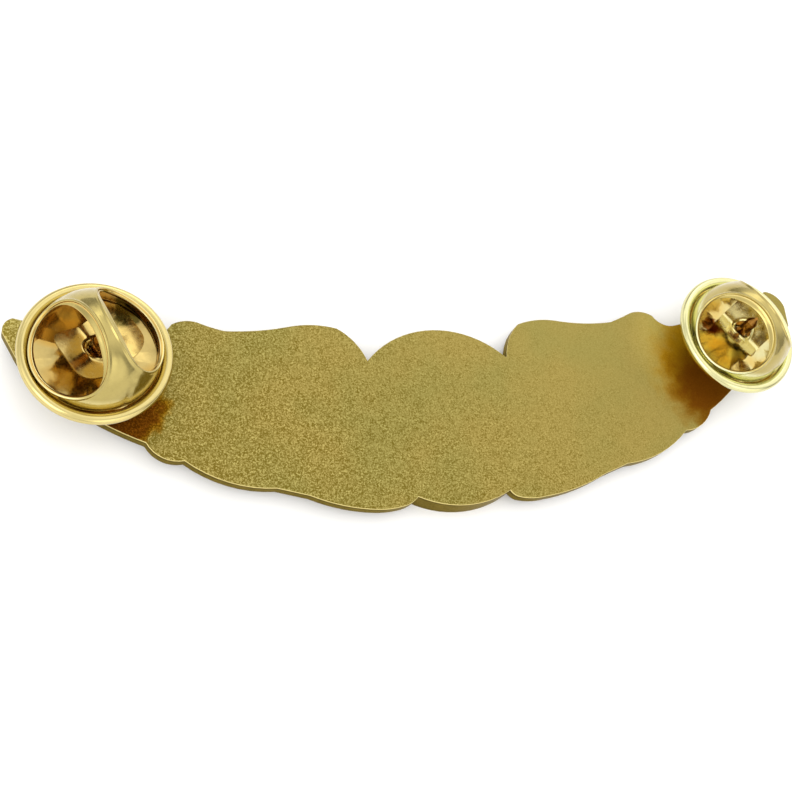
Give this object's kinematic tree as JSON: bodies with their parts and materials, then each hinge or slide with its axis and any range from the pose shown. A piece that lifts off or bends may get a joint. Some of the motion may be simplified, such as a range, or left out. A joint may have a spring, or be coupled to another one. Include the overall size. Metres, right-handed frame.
{
  "type": "military badge",
  "caption": "Wings badge of gold-plated metal with a round centre boss, feather relief on its front and posts on its back, each held by a butterfly clutch with a spring inside.",
  "frame": {"origin": "middle of the box round the whole badge, at the level of the face it lies on", "axes": "+X runs along the badge to its right-hand wing seen from the back, +Y across it to the wings' upper edge, +Z out of its back along the posts"},
  "size_m": [0.072, 0.019, 0.0097],
  "materials": {
    "plate": "sandblasted and gold plated",
    "clutch": "polished and gold plated",
    "spring": "polished and gold plated"
  },
  "bodies": {
    "badge": {"wing_plate": "plate"},
    "clutch_left": {"clutch_base_left": "clutch", "clutch_shell_left": "clutch", "clutch_spring_left": "spring"},
    "clutch_right": {"clutch_base_right": "clutch", "clutch_shell_right": "clutch", "clutch_spring_right": "spring"}
  },
  "joints": [
    {"name": "clutch_left_slide", "type": "slide", "parent": "badge", "child": "clutch_left", "axis": [0, 0, 1], "range_m": [0, 0.004]},
    {"name": "clutch_right_slide", "type": "slide", "parent": "badge", "child": "clutch_right", "axis": [0, 0, 1], "range_m": [0, 0.004]}
  ]
}
